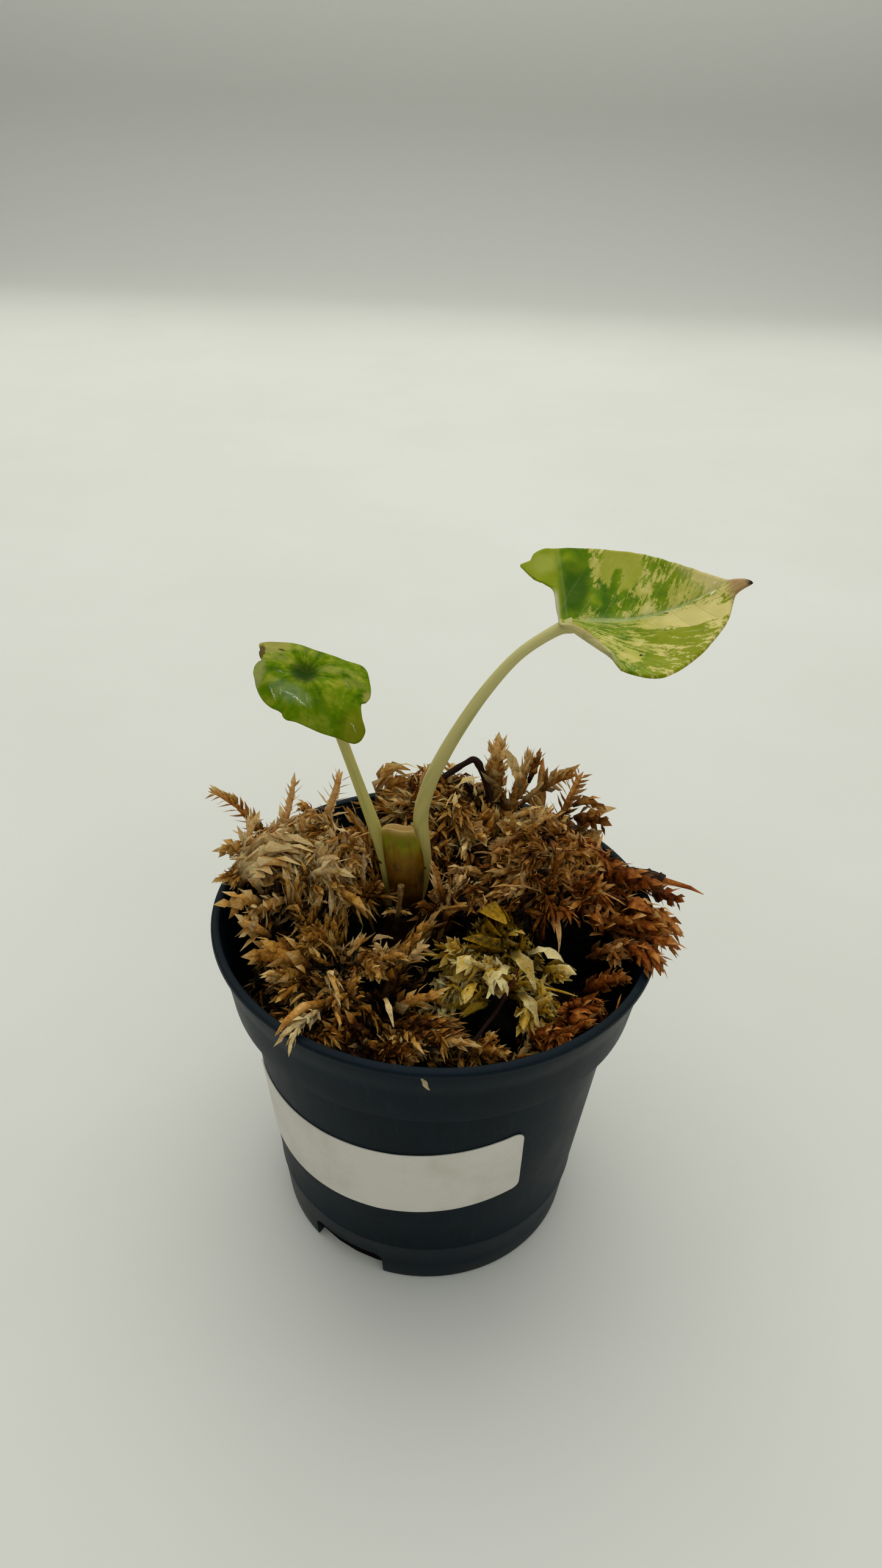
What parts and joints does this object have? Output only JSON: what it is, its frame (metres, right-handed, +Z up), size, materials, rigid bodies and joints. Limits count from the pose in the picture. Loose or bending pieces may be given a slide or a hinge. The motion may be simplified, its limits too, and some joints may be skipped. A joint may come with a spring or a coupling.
{
  "type": "potted alocasia black velvet seedling, gold-variegated",
  "caption": "Young gold-variegated alocasia with heart-shaped leaves on slender stalks, rooted in long-fibre moss in a round black nursery pot with a bare label.",
  "frame": {"origin": "centre of the pot's flat underside", "axes": "+Z up along the pot's axis; -Y is the front, the side that the label and the camera face; +X is to the right seen from the front"},
  "size_m": [0.082, 0.07, 0.1147],
  "materials": {
    "pot_plastic": "semi-gloss injection-moulded polypropylene, black with a blue cast, faint scuffs",
    "label_paper": "bare off-white paper sticker, matt, lightly soiled",
    "moss_packed": "damp packed long-fibre moss, dark between the strands",
    "moss_tan": "dried long-fibre sphagnum, tan and straw, matt",
    "moss_brown": "dried long-fibre sphagnum, brown, matt",
    "moss_rust": "dried long-fibre sphagnum, rust brown, matt",
    "moss_yellow": "dried long-fibre sphagnum, cream and yellow, matt",
    "dark_bark": "dark brown twig bark, matt",
    "dry_stalk": "dry straw-brown to red-brown stalk, satin",
    "root_skin": "pale brown rhizome and root skin, matt",
    "leaf_sheath": "olive-yellow fleshy leaf base with a papery edge, satin",
    "green_stem": "pale grey-green smooth leaf stalk, satin",
    "leaf_variegated": "leaf marbled green, yellow-green and cream, satin",
    "leaf_green": "glossy olive-green leaf"
  },
  "bodies": {
    "root": {"pot": "pot_plastic", "label": "label_paper", "moss_bed": "moss_packed", "moss_left_tan": "moss_tan", "moss_back_brown": "moss_brown", "moss_right_rust": "moss_rust", "moss_front_yellow": "moss_yellow", "moss_front_left": "moss_tan", "moss_front_brown": "moss_brown", "moss_front_right": "moss_rust", "twig_bent": "dark_bark", "twig_left": "dark_bark", "stalk_red_front": "dry_stalk", "stalk_pale": "dry_stalk", "twig_cut": "dark_bark", "rhizome": "root_skin", "sheath": "leaf_sheath", "petiole_large": "green_stem", "petiole_small": "green_stem", "leaf_large": "leaf_variegated", "leaf_small": "leaf_green"}
  },
  "joints": []
}
